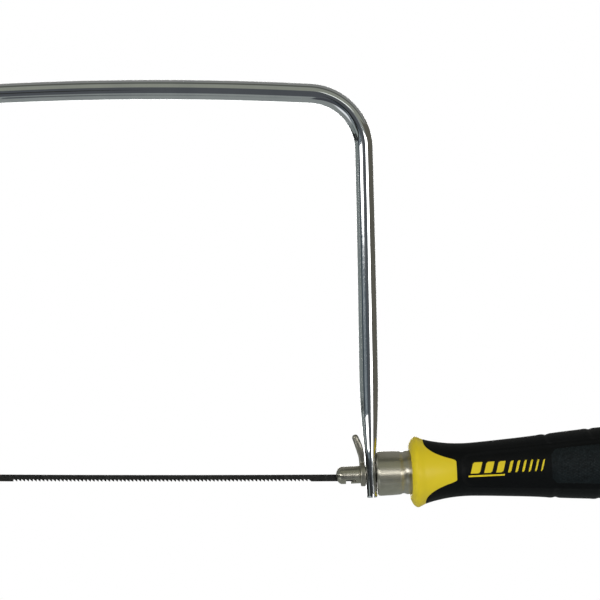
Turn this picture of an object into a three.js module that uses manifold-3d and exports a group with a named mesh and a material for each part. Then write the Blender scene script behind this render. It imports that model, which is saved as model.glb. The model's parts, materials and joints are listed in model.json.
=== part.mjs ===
// A coping saw: a chromed spring-steel bow, two slotted blade holders with setting levers,
// a pinned blade, and a two-material handle that screws onto the rear holder's stud and tightens the blade.
// Millimetres. +X runs along the blade towards the handle and +Z from the blade to the bow's back.
// The parts are drawn around the blade's turning axis, with X = 0 midway between the blade's pins,
// and the whole saw is then moved so that the origin is under the middle of its box, at its lowest point.
import * as THREE from "three";
import { mergeVertices } from "three/addons/utils/BufferGeometryUtils.js";
import Module from "manifold-3d";

const wasm = await Module();
wasm.setup();

// Driving dimensions
const PIN_TO_PIN = 162; // a standard pin-end blade, pin centre to pin centre
const TEETH_PER_INCH = 15;
const BOW_DEPTH = 168.8; // blade axis to the centreline of the bow's back, at its middle
const BOW_CENTRE_X = -2.6; // the bow's middle is slightly in front of the blade's middle
const LEG_FOOT_X = 93.9; // the bow's middle to the foot of each leg
const REAR_TILT = 2.75; // degrees: the sprung rear leg tips the handle up
const HANDLE_END = 155; // rear pin to the butt, along the handle's axis
const RUNNING_GAP = 0.3; // between pieces that turn or slide past each other
const SEAT_GAP = 0.1; // between pieces that are fixed together

// Bow: a round rod whose ends are forged flat and drilled
const BOW = { backRadius: 1220, backHeight: 8.5, cornerRadius: 24.6, cornerAngle: 3.16, legLean: 1.4 };
const ROD = { corner: 7.75, leg: 8.2, width: 8.3, sides: 16 };
const FOOT = {
  thick: 4.0, width: 14, squareness: 5, drop: 9.6, corner: 3.2, flatTo: 7.5, roundFrom: 42, bore: 3.3,
};

// Blade and its pins: heights are measured from the turning axis
const BLADE = { top: 0.33, bottom: -2.65, thick: 0.5, overhang: 1.6, toothDepth: 0.95 };
const TOOTHED = [-65.4, 66.4];
const PIN = { radius: 0.75, length: 6.0, height: -1.1 };

// Holders: distances run from the pin, positive towards the leg
const HOLDER = { radius: 3.83, nose: -5.25, noseLength: 2.6, neck: 3.0 };
const SLOT = { width: 1.2, roof: 1.2, end: 4.1 };
const POCKET = { half: 1.05, reach: 3.6, halfLength: 3.35, roof: 0.1, lip: -2.8 };
const STUD = { radius: 3.0, start: 4.9, end: 44, socket: 3.15, socketStart: 4.6, chamfer: 0.8 };
const RIVET = { radius: 4.6, height: 2.3 };
const WASHER = { thick: 0.8, bore: 3.2, radius: 6.2 };

// Setting lever: its ring starts at 0, and the arm's points are [along, height]
const LEVER = { ringRadius: 5.2, ringLength: 2.85, edge: 0.7, bore: 3.98, base: 1.42, tip: 1.2 };
const LEVER_ARM = [[1.5, 4.6], [1.45, 6.2], [1.0, 8.4], [-0.15, 12.4], [-1.35, 16.4]];

// Handle: distances run from the rear pin along the handle's axis
const FERRULE = {
  end: 27.3, frontRadius: 9.75, rearRadius: 9.45, wall: 0.9, face: 1.1, bore: 3.6, edge: 1.7,
};
const CRIMP = { start: 22.9, depth: 0.3, slope: 0.5, floor: 0.6 };
const NUT = { length: 9, acrossFlats: 10, bore: 3.2 };
const CORE = { spigot: 8.35, radius: 8.2, bore: 3.4, boreEnd: 58, nutClearance: 0.25 };
const BOLSTER = { start: 27.5, ringEnd: 33.5, tongueEnd: 47.6, tongueBase: 11.3, tongueTip: 4.7, cut: 1.2 };
const GRIP_GAP = 0.3;
// Outer radius of the handle, from the bolster's face to the butt: [along the axis, radius]
const HANDLE_OUTLINE = [
  [27.5, 9.9], [27.0, 12.6], [28.3, 14.9], [29.8, 15.5], [31.6, 14.8], [33.7, 14.0],
  [38, 12.9], [44, 11.95], [50.8, 11.55], [58, 11.8], [66.5, 12.3], [79.6, 13.2], [92.8, 14.4],
  [109.8, 15.6], [125, 16.2], [139, 15.8], [148, 14.6], [153, 13.0], [155, 11.0],
];
const HANDLE_SIDES = 32;

const metal = (color, roughness) => new THREE.MeshStandardMaterial({ color, roughness, metalness: 1 });
const plastic = (color, roughness) => new THREE.MeshStandardMaterial({ color, roughness, metalness: 0 });
const CHROME = metal(0xc9ced1, 0.12);
const NICKEL = metal(0xa8a396, 0.3);
const BLADE_STEEL = metal(0x3a3a38, 0.45);
const ZINC = metal(0xb4b6b8, 0.4);
const YELLOW = plastic(0xcdb92e, 0.4);
const BLACK = plastic(0x141517, 0.65);

// A geometry as a solid: only positions count, and triangles that collapse at a pole are dropped.
function solid(geometry) {
  const bare = new THREE.BufferGeometry().setAttribute("position", geometry.getAttribute("position"));
  const merged = mergeVertices(bare.setIndex(geometry.index), 1e-4);
  const index = merged.index.array;
  const kept = [];
  for (let i = 0; i < index.length; i += 3) {
    const [a, b, c] = [index[i], index[i + 1], index[i + 2]];
    if (a !== b && b !== c && c !== a) kept.push(a, b, c);
  }
  const vertProperties = merged.attributes.position.array;
  return new wasm.Manifold(new wasm.Mesh({ numProp: 3, vertProperties, triVerts: new Uint32Array(kept) }));
}

function part(name, made, material) {
  const { vertProperties, triVerts } = made.getMesh();
  const geometry = new THREE.BufferGeometry();
  geometry.setAttribute("position", new THREE.BufferAttribute(new Float32Array(vertProperties), 3));
  geometry.setIndex(new THREE.BufferAttribute(new Uint32Array(triVerts), 1));
  const mesh = new THREE.Mesh(geometry, material);
  mesh.name = name;
  return mesh;
}

// A solid turned about X from [along, radius] points, which run towards +X on its outside.
function turned(profile, sides = 28) {
  const points = profile.map(([along, radius]) => new THREE.Vector2(radius, along));
  return solid(new THREE.LatheGeometry(points, sides).rotateZ(-Math.PI / 2));
}

const rod = (from, to, radius, sides) => turned([[from, 0], [from, radius], [to, radius], [to, 0]], sides);

const tube = (from, to, outer, inner) =>
  turned([[from, inner], [from, outer], [to, outer], [to, inner], [from, inner]]);

const hexagon = (from, to, acrossFlats) => rod(from, to, acrossFlats / Math.sqrt(3), 6);

function box([x0, x1], [y0, y1], [z0, z1]) {
  const made = new THREE.BoxGeometry(x1 - x0, y1 - y0, z1 - z0);
  return solid(made.translate((x0 + x1) / 2, (y0 + y1) / 2, (z0 + z1) / 2));
}

// A flat outline in the XZ plane, given a thickness centred on Y = 0.
function plate(outline, thick) {
  const shape = new THREE.Shape(outline.map(([x, z]) => new THREE.Vector2(x, z)));
  const made = new THREE.ExtrudeGeometry(shape, { depth: thick, bevelEnabled: false });
  return solid(made.rotateX(Math.PI / 2).translate(0, thick / 2, 0));
}

// A quarter circle of [along, radius] points.
function quarter(steps, point) {
  return Array.from({ length: steps + 1 }, (_, i) => {
    const angle = (i / steps) * (Math.PI / 2);
    return point(Math.sin(angle), Math.cos(angle));
  });
}

// A skin over rings of equal size, with a flat cap on each end.
function loft(rings) {
  const sides = rings[0].length;
  const index = [];
  for (let r = 0; r + 1 < rings.length; r++)
    for (let i = 0; i < sides; i++) {
      const [a, b] = [r * sides + i, r * sides + ((i + 1) % sides)];
      index.push(a, b, b + sides, a, b + sides, a + sides);
    }
  const last = (rings.length - 1) * sides;
  for (let i = 1; i + 1 < sides; i++) index.push(0, i + 1, i, last, last + i, last + i + 1);
  const made = new THREE.BufferGeometry().setFromPoints(rings.flat()).setIndex(index);
  const skin = solid(made);
  return skin.volume() > 0 ? skin : solid(made.setIndex([...index].reverse()));
}

// One ring of a loft whose path lies in the XZ plane: a superellipse, 2 for an oval and more for squarer.
function ring(centre, heading, thick, width, squareness, sides) {
  const across = new THREE.Vector3(-heading.z, 0, heading.x);
  const bulge = (value) => Math.sign(value) * Math.abs(value) ** (2 / squareness);
  return Array.from({ length: sides }, (_, i) => {
    const angle = (2 * Math.PI * i) / sides;
    const point = centre.clone().addScaledVector(across, (thick / 2) * bulge(Math.cos(angle)));
    point.y += (width / 2) * bulge(Math.sin(angle));
    return point;
  });
}

// The unit vector that points a number of degrees below the horizontal, to the front (-1) or the rear (1).
function downward(degrees, side) {
  const angle = THREE.MathUtils.degToRad(degrees);
  return new THREE.Vector3(side * Math.cos(angle), 0, -Math.sin(angle));
}

// Stations along half of the bow, from its middle to the tip of a foot.
// `above` is a station's height over the foot's hole, where the rod is being flattened.
function halfBow(side, foot, footLean) {
  const { backRadius, backHeight, cornerRadius, cornerAngle, legLean } = BOW;
  const stations = [];
  const arcPoint = (centre, radius, degrees) => {
    const angle = THREE.MathUtils.degToRad(degrees);
    const arm = new THREE.Vector3(side * Math.sin(angle), 0, Math.cos(angle));
    return centre.clone().addScaledVector(arm, radius);
  };

  const backCentre = new THREE.Vector3(BOW_CENTRE_X, 0, BOW_DEPTH - backRadius);
  const backSteps = 5;
  for (let i = 0; i < backSteps; i++) {
    const degrees = (cornerAngle * i) / backSteps;
    const thick = THREE.MathUtils.lerp(backHeight, ROD.corner, (i / backSteps) ** 6);
    const at = arcPoint(backCentre, backRadius, degrees);
    stations.push({ at, heading: downward(degrees, side), thick });
  }

  const cornerCentre = arcPoint(backCentre, backRadius - cornerRadius, cornerAngle);
  const cornerSteps = 8;
  for (let i = 0; i <= cornerSteps; i++) {
    const degrees = THREE.MathUtils.lerp(cornerAngle, 90 - legLean, i / cornerSteps);
    const at = arcPoint(cornerCentre, cornerRadius, degrees);
    stations.push({ at, heading: downward(degrees, side), thick: ROD.corner });
  }

  const corner = stations.at(-1);
  const down = downward(90 - footLean, side);
  const reach = corner.at.distanceTo(foot) / 3;
  const leg = new THREE.CubicBezierCurve3(
    corner.at,
    corner.at.clone().addScaledVector(corner.heading, reach),
    foot.clone().addScaledVector(down, -reach),
    foot,
  );
  const legSteps = 12;
  for (let i = 1; i < legSteps; i++) {
    const share = 1 - (1 - i / legSteps) ** 1.8; // closer together towards the foot
    const at = leg.getPoint(share);
    stations.push({ at, heading: leg.getTangent(share), thick: ROD.leg, above: at.distanceTo(foot) });
  }

  const straight = FOOT.drop - FOOT.corner;
  const tip = quarter(5, (sine, cosine) => [
    straight + FOOT.corner * sine,
    FOOT.width - 2 * FOOT.corner * (1 - cosine),
  ]);
  for (const [below, width] of tip) {
    stations.push({ at: foot.clone().addScaledVector(down, below), heading: down, above: 0, width });
  }
  return stations;
}

// The rod's section at a station: round, then flattened and squared towards the foot.
function section({ at, heading, thick, above, width }) {
  const { mapLinear, clamp, lerp } = THREE.MathUtils;
  const height = above ?? Infinity;
  const up = clamp(mapLinear(Math.min(height, FOOT.roundFrom), FOOT.flatTo, FOOT.roundFrom, 0, 1), 0, 1);
  const round = 1 - (1 - up) ** 1.6;
  const depth = lerp(FOOT.thick, thick ?? FOOT.thick, round);
  const wide = width ?? lerp(FOOT.width, ROD.width, round);
  return ring(at, heading, depth, wide, lerp(FOOT.squareness, 2, round), ROD.sides);
}

const tilt = THREE.MathUtils.degToRad(REAR_TILT);
const frontPin = new THREE.Vector3(-PIN_TO_PIN / 2, 0, 0);
const rearPin = new THREE.Vector3(PIN_TO_PIN / 2, 0, 0);
const frontFoot = new THREE.Vector3(BOW_CENTRE_X - LEG_FOOT_X, 0, 0);
const frontReach = frontPin.distanceTo(frontFoot); // pin to the middle of the leg
const rearReach = (BOW_CENTRE_X + LEG_FOOT_X - rearPin.x) / Math.cos(tilt);
const rearAxis = new THREE.Vector3(Math.cos(tilt), 0, Math.sin(tilt));
const rearFoot = rearPin.clone().addScaledVector(rearAxis, rearReach);

function bow() {
  const front = halfBow(-1, frontFoot, 0).slice(1).reverse();
  for (const station of front) station.heading = station.heading.clone().negate();
  const skin = loft([...front, ...halfBow(1, rearFoot, REAR_TILT)].map(section));
  const hole = rod(-FOOT.thick, FOOT.thick, FOOT.bore, 24);
  return skin
    .subtract(hole.translate(frontFoot.toArray()))
    .subtract(hole.rotate([0, -REAR_TILT, 0]).translate(rearFoot.toArray()));
}

// Plain ends, and teeth that point towards the handle, so that the saw cuts on the pull.
function blade() {
  const end = PIN_TO_PIN / 2 + BLADE.overhang;
  const [from, to] = TOOTHED;
  const pitch = 25.4 / TEETH_PER_INCH;
  const gullet = BLADE.bottom + BLADE.toothDepth;
  const outline = [[end, BLADE.top], [-end, BLADE.top], [-end, BLADE.bottom], [from, BLADE.bottom]];
  for (let x = from; x + pitch < to; x += pitch) {
    outline.push([x + 0.07 * pitch, gullet], [x + 0.22 * pitch, gullet], [x + pitch, BLADE.bottom]);
  }
  return plate([...outline, [end, BLADE.bottom]], BLADE.thick);
}

function bladePin() {
  const pin = solid(new THREE.CylinderGeometry(PIN.radius, PIN.radius, PIN.length, 14));
  return pin.translate([0, 0, PIN.height]);
}

// A holder turned from bar: a domed nose, then a slot for the blade and a pocket for its pin.
// Both are open below. It lies along X, with the pin at 0 and the leg towards +X.
// The tail is the rest of its turned profile.
function holder(tail) {
  const { radius, nose, noseLength } = HOLDER;
  const dome = quarter(5, (sine, cosine) => [nose + noseLength * (1 - cosine), radius * sine]);
  const slot = box([nose - 1, SLOT.end], [-SLOT.width / 2, SLOT.width / 2], [-radius - 1, SLOT.roof]);
  const { half, reach, halfLength, roof, lip } = POCKET;
  const pocket = box([-half, reach], [-halfLength, halfLength], [lip, roof]);
  const mouth = box([-half, half], [-radius, radius], [-radius - 1, lip + 0.1]);
  return turned([...dome, ...tail]).subtract(slot).subtract(pocket).subtract(mouth);
}

// A ring round the holder with a bent arm, by which the blade's angle is set.
function settingLever() {
  const { ringRadius, ringLength, edge, bore, base, tip } = LEVER;
  const edges = quarter(3, (sine, cosine) => [edge * (1 - cosine), ringRadius - edge * (1 - sine)]);
  const collar = turned([[0, 0], ...edges, [ringLength, ringRadius], [ringLength, 0]]);
  const line = new THREE.CatmullRomCurve3(LEVER_ARM.map(([x, z]) => new THREE.Vector3(x, 0, z)));
  const steps = 10;
  const rings = Array.from({ length: steps + 1 }, (_, i) => {
    const across = 2 * THREE.MathUtils.lerp(base, tip, i / steps);
    return ring(line.getPoint(i / steps), line.getTangent(i / steps), across, across, 2, 12);
  });
  const end = quarter(3, (sine, cosine) => [tip * sine, 2 * tip * Math.max(cosine, 0.25)]).slice(1);
  for (const [beyond, across] of end) {
    const at = line.getPoint(1).addScaledVector(line.getTangent(1), beyond);
    rings.push(ring(at, line.getTangent(1), across, across, 2, 12));
  }
  return collar.add(loft(rings)).subtract(rod(-1, ringLength + 1, bore));
}

const ferruleStart = rearReach + FOOT.thick / 2 + RUNNING_GAP;
const coreStart = ferruleStart + FERRULE.face + RUNNING_GAP;

// A drawn steel cup over the front of the handle, crimped near its rear edge.
function ferrule() {
  const { end, frontRadius, rearRadius, wall, face, bore, edge } = FERRULE;
  const { start, depth, slope, floor } = CRIMP;
  const rim = quarter(4, (sine, cosine) => [
    ferruleStart + edge * (1 - cosine),
    frontRadius - edge * (1 - sine),
  ]);
  const groove = [
    [start, rearRadius], [start + slope, rearRadius - depth],
    [start + slope + floor, rearRadius - depth], [start + 2 * slope + floor, rearRadius],
  ];
  const inside = rearRadius - wall;
  return turned([
    [ferruleStart, bore], ...rim, ...groove, [end, rearRadius], [end, inside],
    [ferruleStart + face, inside], [ferruleStart + face, bore], [ferruleStart, bore],
  ]);
}

const handleNut = () =>
  hexagon(coreStart, coreStart + NUT.length, NUT.acrossFlats).subtract(rod(0, STUD.end, NUT.bore));

// The outer shape of the whole handle, filled in.
function handleBlank() {
  const points = HANDLE_OUTLINE.map(([along, radius]) => new THREE.Vector2(along, radius));
  const curve = new THREE.SplineCurve(points);
  const outline = curve.getPoints(1.5 * points.length).map((point) => [point.x, point.y]);
  return turned([[BOLSTER.start, 0], ...outline, [HANDLE_END, 0]], HANDLE_SIDES);
}

// Where the core comes to the surface: the bolster, and on each side a tongue that narrows rearwards.
function bolsterZone(grow) {
  const { start, ringEnd, tongueEnd, tongueBase, tongueTip, cut } = BOLSTER;
  const widest = HANDLE_END / 2;
  const base = ringEnd - 4;
  const half = [
    [base, tongueBase + grow],
    [tongueEnd - cut + grow, tongueTip + grow],
    [tongueEnd + grow, tongueTip - cut],
  ];
  const mirrored = half.map(([x, z]) => [x, -z]);
  return box([start - 4, ringEnd + grow], [-widest, widest], [-widest, widest])
    .add(plate([...mirrored, ...half.reverse()], 2 * widest));
}

function handleCore() {
  const nutEnd = coreStart + NUT.length + CORE.nutClearance;
  return handleBlank()
    .intersect(bolsterZone(0))
    .add(rod(coreStart, BOLSTER.start + 1, CORE.spigot))
    .add(rod(BOLSTER.start, HANDLE_END, CORE.radius))
    .subtract(rod(0, CORE.boreEnd, CORE.bore))
    .subtract(hexagon(0, nutEnd, NUT.acrossFlats + 2 * CORE.nutClearance));
}

const softGrip = () =>
  handleBlank().subtract(bolsterZone(GRIP_GAP)).subtract(rod(0, HANDLE_END + 1, CORE.radius + GRIP_GAP));

// The front holder is one piece with its neck, which passes through the leg and is peened over a washer.
function frontEnd() {
  const group = new THREE.Group();
  group.position.copy(frontPin);
  group.rotation.z = Math.PI;
  const ringStart = frontReach - FOOT.thick / 2 - RUNNING_GAP - LEVER.ringLength;
  const ringEnd = ringStart + LEVER.ringLength;
  const washerStart = frontReach + FOOT.thick / 2 + RUNNING_GAP;
  const rivetStart = washerStart + WASHER.thick + SEAT_GAP;
  const head = quarter(4, (sine, cosine) => [rivetStart + RIVET.height * sine, RIVET.radius * cosine]);
  const tail = [[ringEnd, HOLDER.radius], [ringEnd, HOLDER.neck], [rivetStart, HOLDER.neck], ...head];
  const lever = part("front_setting_lever", settingLever(), NICKEL);
  lever.position.x = ringStart;
  const washer = tube(washerStart, washerStart + WASHER.thick, WASHER.radius, WASHER.bore);
  return group.add(
    part("front_blade_holder", holder(tail), NICKEL),
    lever,
    part("front_washer", washer, ZINC),
  );
}

// The rear holder is pressed onto a stud, which passes through the leg and screws into the handle.
function rearEnd() {
  const group = new THREE.Group();
  group.position.copy(rearPin);
  group.rotation.y = -tilt;
  const ringStart = rearReach - FOOT.thick / 2 - RUNNING_GAP - LEVER.ringLength;
  const ringEnd = ringStart + LEVER.ringLength;
  const { radius, start, end, socket, socketStart, chamfer } = STUD;
  const spigot = holder([[ringEnd, HOLDER.radius], [ringEnd, 0]])
    .subtract(rod(socketStart, ringEnd + 1, socket));
  const stud = turned([
    [start, 0], [start, radius], [end - chamfer, radius], [end, radius - chamfer], [end, 0],
  ]);
  const lever = part("rear_setting_lever", settingLever(), NICKEL);
  lever.position.x = ringStart;
  return group.add(
    part("rear_blade_holder", spigot, NICKEL),
    lever,
    part("tension_stud", stud, ZINC),
    part("ferrule", ferrule(), NICKEL),
    part("handle_nut", handleNut(), ZINC),
    part("handle_core", handleCore(), YELLOW),
    part("soft_grip", softGrip(), BLACK),
  );
}

// Fits the blade's pins into its drilled ends.
function bladeSet() {
  const made = [["front_blade_pin", frontPin], ["rear_blade_pin", rearPin]].map(([name, at]) => {
    const pin = part(name, bladePin(), BLADE_STEEL);
    pin.position.copy(at);
    return pin;
  });
  const holeRadius = PIN.radius + SEAT_GAP;
  const hole = solid(new THREE.CylinderGeometry(holeRadius, holeRadius, PIN.length, 14));
  const drilled = [frontPin, rearPin].reduce(
    (steel, at) => steel.subtract(hole.translate([at.x, 0, PIN.height])),
    blade(),
  );
  return [part("saw_blade", drilled, BLADE_STEEL), ...made];
}

const saw = new THREE.Group();
saw.add(part("frame_bow", bow(), CHROME), ...bladeSet(), frontEnd(), rearEnd());

const extent = new THREE.Box3().setFromObject(saw);
const middle = extent.getCenter(new THREE.Vector3());
saw.position.set(-middle.x, -middle.y, -extent.min.z);

export default saw;
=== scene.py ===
"""A coping saw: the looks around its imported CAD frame.

Every piece is built in millimetres in a local frame with X along it, then set into the model in metres.
"""
import json
import math

import bmesh
import bpy
from mathutils import Matrix, Vector


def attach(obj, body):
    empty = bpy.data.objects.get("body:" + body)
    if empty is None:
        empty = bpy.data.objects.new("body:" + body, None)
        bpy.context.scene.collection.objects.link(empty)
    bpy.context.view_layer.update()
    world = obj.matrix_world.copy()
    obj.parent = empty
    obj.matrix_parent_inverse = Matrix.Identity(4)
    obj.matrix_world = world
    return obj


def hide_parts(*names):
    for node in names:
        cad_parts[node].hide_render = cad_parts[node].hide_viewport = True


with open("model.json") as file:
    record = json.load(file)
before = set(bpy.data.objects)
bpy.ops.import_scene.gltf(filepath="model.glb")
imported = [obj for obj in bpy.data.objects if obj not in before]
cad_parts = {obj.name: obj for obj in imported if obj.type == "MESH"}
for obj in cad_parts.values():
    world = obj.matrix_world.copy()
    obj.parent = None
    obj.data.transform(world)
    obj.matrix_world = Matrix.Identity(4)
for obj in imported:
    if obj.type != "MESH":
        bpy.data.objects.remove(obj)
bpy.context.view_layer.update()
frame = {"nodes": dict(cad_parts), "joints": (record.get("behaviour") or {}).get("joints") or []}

MM = 0.001
JOINTS = {joint["name"]: joint for joint in frame["joints"]}
FRONT_PIN = Vector(JOINTS["front_holder_turn"]["pos_m"])
REAR_PIN = Vector(JOINTS["handle_turn"]["pos_m"])
REAR_AXIS = Vector(JOINTS["handle_turn"]["axis"]).normalized()
UP = Vector((0, 0, 1))

# Sizes in millimetres, as in the CAD model. Distances along a holder or the handle run from its pin.
BOW_DEPTH = 168.6
BOW_CENTRE_X = -2.6
LEG_FOOT_X = 93.9
BOW = dict(back_radius=1400, back_height=8.5, corner_radius=24.6, corner_angle=2.747, leg_lean=1.4)
ROD = dict(leg=8.2, width=8.3)
# Each foot: how far its faces lie inside and outside of the leg's line, and its tip drops below the pin
FOOT = dict(inside=2.6, outside=2.0, width=12.2, drop=9.9, corner=0.9, edge=0.4, bore=3.3)
FOOT_THICK = FOOT["inside"] + FOOT["outside"]
FLAT = dict(end=7.5, thin_from=42, wide_from=28, fall=1.8)  # heights over the pin, up each leg
# A shallow cleft in each foot's tip, left by the forging
CLEFT = dict(top=-8.3, bottom=-10.6, near=0.35, top_far=0.4, bottom_far=0.75)
BOW_SIDES = 48
BOW_STEPS = dict(back=24, corner=30, leg=80, tip=14)
CORNER_THICK = (8.4, 7.8)  # from the top of each corner to its lower end
LEG_BULGE = 0.5  # how far each leg springs outwards

BLADE = dict(top=0.33, bottom=-2.65, thick=0.5, end=82.6, first=-65.4, last=66.4, depth=0.95, bow=0.3)
TOOTH_PITCH = 25.4 / 15
TOOTH_SET = 0.12
PIN = dict(radius=0.75, length=6.0, height=-1.1)

HOLDER = dict(radius=3.83, nose=-5.25, nose_length=2.6, neck=3.0)
SLOT = dict(width=1.2, roof=1.2, end=4.1)
POCKET = dict(half=1.05, reach=3.6, half_length=3.35, roof=0.1, lip=-2.8, far=3.1, far_lip=-2.3)
STUD = dict(radius=3.0, start=4.9, end=44.0, socket=3.15, socket_start=4.6)
THREAD = dict(start=8.8, depth=0.34, pitch=1.0)
RIVET = dict(radius=4.6, height=2.3)
WASHER = dict(thick=0.8, bore=3.2, radius=6.2)
RUNNING_GAP = 0.3
LEVER_GAP = 0.05
SEAT_GAP = 0.1

LEVER = dict(ring_radius=5.2, ring_length=2.3, edge=0.7, bore=3.98)
# The lever's arm: (along, height over the axis, radius), along from the ring's front face
LEVER_ARM = [
    (1.0, 2.6, 1.3), (1.02, 4.6, 1.26), (1.0, 6.4, 1.28), (0.84, 8.4, 1.4), (-0.08, 12.3, 1.54),
    (-1.4, 16.2, 1.42),
]

FERRULE = dict(start=12.5, end=27.6, front_radius=9.75, rear_radius=9.45, wall=0.9, face=1.1, bore=3.6)
FERRULE_SADDLE = 1.2  # how far its rear edge is set back at each side
CRIMP = dict(start=22.6, floor_start=23.5, floor_end=24.4, end=25.3, depth=0.38, corner=0.5)
CORE_RADIUS = 8.2
HANDLE_END = 155.0
# The handle's outline from the front of its bolster to the butt: (along the axis, radius)
HANDLE_OUTLINE = [
    (28.6, 9.6), (26.95, 10.1), (26.9, 11.5), (27.4, 12.95), (28.2, 14.35), (29.2, 15.2), (30.2, 15.45),
    (31.7, 14.85), (33.7, 14.0), (38, 12.9), (44, 11.95), (50.8, 11.55), (58, 11.8), (66.5, 12.3),
    (79.6, 13.2), (92.8, 14.4), (109.8, 15.6), (125, 16.2), (139, 15.8), (147.5, 14.75), (152, 13.3),
    (154.2, 11.6), (154.95, 9.6),
]
HANDLE_COLUMNS = 240
BOLSTER_FACE_END = 30  # the bolster's front face and rim lie before this
BOLSTER_SADDLE = 1.7  # how far the face's inner edge is set back at each side
TONGUE = dict(base=33.2, length=13.7, curve=7.22, width=0.913, corner=3.2)
HANDLE_TURN = math.radians(3.5)  # where the handle was left, round its axis
PART_LINE = 0.18  # the gap between yellow and black at the surface

# The recessed panel on each side of the grip, and what is on it
PANEL = dict(start=50.2, end=141, half_at_start=6.5, growth=0.067, widest_at=112, corner=3.0, depth=0.38)
# A fine groove and a low ridge round the panel: (height, distance outside its edge, width)
PANEL_RIMS = [(-0.16, 0.35, 0.45), (0.12, 1.5, 0.8)]
DOTS = dict(start=87.5, end=139.5, pitch=1.4, height=0.25, cell=0.33)
# Shallow grooves over the top and bottom, and the low lip in front of each
SCALLOPS = dict(first=88.5, spacing=19.0, count=3, slant=1.4, hook=1.6, depth=0.38, width=1.0)
SCALLOP_LIP = dict(height=0.1, before=2.3, width=1.3)
SCALLOP_FADE = (0.6, 3.5)  # they die out between these distances outside the panel
# The plain mark on each side: (start, width, lowest, highest) of each bar
MARK_LEAN = 0.9
MARK_TOP = 3.3
MARK_MIDDLE = 68.8  # the far side's mark is mirrored about this
MARK_BARS = [
    (53.2, 4.0, -1.7, 3.3), (59.0, 3.4, -1.7, 3.3), (64.2, 3.0, -1.7, 3.3),  # thick bars
    (52.6, 15.6, -3.3, -2.5),  # a rule under them
    (69.3, 1.3, -1.9, 3.3), (72.4, 1.1, -1.9, 3.3), (75.3, 1.0, -1.9, 3.3),  # thin bars
    (78.1, 0.9, -1.9, 3.3), (80.8, 0.8, -1.9, 3.3), (83.4, 0.7, -1.9, 3.3),
]


# ---- local frames

def local_frame(origin, along):
    """Millimetres to metres, with local X on `along`, and local Z as near to straight up as it can be."""
    side = UP.cross(along).normalized()
    rotation = Matrix((along, side, along.cross(side))).transposed().to_4x4()
    return Matrix.Translation(origin) @ rotation @ Matrix.Scale(MM, 4)


REAR = local_frame(REAR_PIN, REAR_AXIS)
FRONT = local_frame(FRONT_PIN, Vector((-1, 0, 0)))
MIDDLE = local_frame((FRONT_PIN + REAR_PIN) / 2, Vector((1, 0, 0)))
HALF_SPAN = (REAR_PIN - FRONT_PIN).length / 2 / MM
TILT = math.atan2(REAR_AXIS.z, REAR_AXIS.x)
FRONT_REACH = LEG_FOOT_X - BOW_CENTRE_X - HALF_SPAN
REAR_REACH = (BOW_CENTRE_X + LEG_FOOT_X - HALF_SPAN) / math.cos(TILT)


# ---- small maths

def lerp(a, b, t):
    return a + (b - a) * t


def smoothstep(low, high, value):
    t = min(max((value - low) / (high - low), 0.0), 1.0)
    return t * t * (3 - 2 * t)


def smooth_min(a, b, blend):
    h = max(blend - abs(a - b), 0) / blend
    return min(a, b) - h * h * blend / 4


def gauss(distance, width):
    return math.exp(-(distance / width) ** 2)


def around(along, radius, angle):
    """A point at this distance from the X axis."""
    return Vector((along, radius * math.cos(angle), radius * math.sin(angle)))


def spline(points, steps):
    """A Catmull-Rom curve through 2D or 3D points."""
    points = [Vector(p) for p in points]
    ends = [points[0] * 2 - points[1], *points, points[-1] * 2 - points[-2]]
    curve = []
    for a, b, c, d in zip(ends, ends[1:], ends[2:], ends[3:]):
        for i in range(steps):
            t = i / steps
            curve.append(0.5 * (2 * b + (c - a) * t + (2 * a - 5 * b + 4 * c - d) * t**2
                                + (3 * b - a - 3 * c + d) * t**3))
    return [*curve, points[-1]]


def resampled(points, count):
    """The same polyline with `count` evenly spaced points."""
    lengths = [0.0]
    for a, b in zip(points, points[1:]):
        lengths.append(lengths[-1] + (b - a).length)
    out, at = [], 0
    for i in range(count):
        want = lengths[-1] * i / (count - 1)
        while at < len(points) - 2 and lengths[at + 1] < want:
            at += 1
        share = (want - lengths[at]) / max(lengths[at + 1] - lengths[at], 1e-9)
        out.append(points[at].lerp(points[at + 1], min(share, 1.0)))
    return out


def filleted(points, steps=4):
    """A polyline of (x, y, radius) points with its corners rounded."""
    out = []
    for i, (x, y, *radius) in enumerate(points):
        if not radius or i in (0, len(points) - 1):
            out.append((x, y))
            continue
        here = Vector((x, y))
        before = Vector(points[i - 1][:2]) - here
        after = Vector(points[i + 1][:2]) - here
        back = here + before.normalized() * min(radius[0], before.length * 0.49)
        on = here + after.normalized() * min(radius[0], after.length * 0.49)
        for k in range(steps + 1):
            t = k / steps
            out.append(tuple(back.lerp(here, t).lerp(here.lerp(on, t), t)))
    return out


# ---- meshes

def mesh_object(name, verts, faces):
    mesh = bpy.data.meshes.new(name)
    mesh.from_pydata([tuple(v) for v in verts], [], faces)
    made = bmesh.new()
    made.from_mesh(mesh)
    bmesh.ops.recalc_face_normals(made, faces=made.faces)
    made.to_mesh(mesh)
    made.free()
    obj = bpy.data.objects.new(name, mesh)
    bpy.context.scene.collection.objects.link(obj)
    return obj


def skin(rings, closed=False):
    """Faces between rings of vertex numbers. A ring of one number is a pole."""
    faces = []
    pairs = list(zip(rings, rings[1:]))
    if closed:
        pairs.append((rings[-1], rings[0]))
    sides = max(len(ring) for ring in rings)
    for low, high in pairs:
        for i in range(sides):
            near = [low[i % len(low)], low[(i + 1) % len(low)]]
            far = [high[(i + 1) % len(high)], high[i % len(high)]]
            faces.append(list(dict.fromkeys(near + far)))
    return faces


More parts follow.
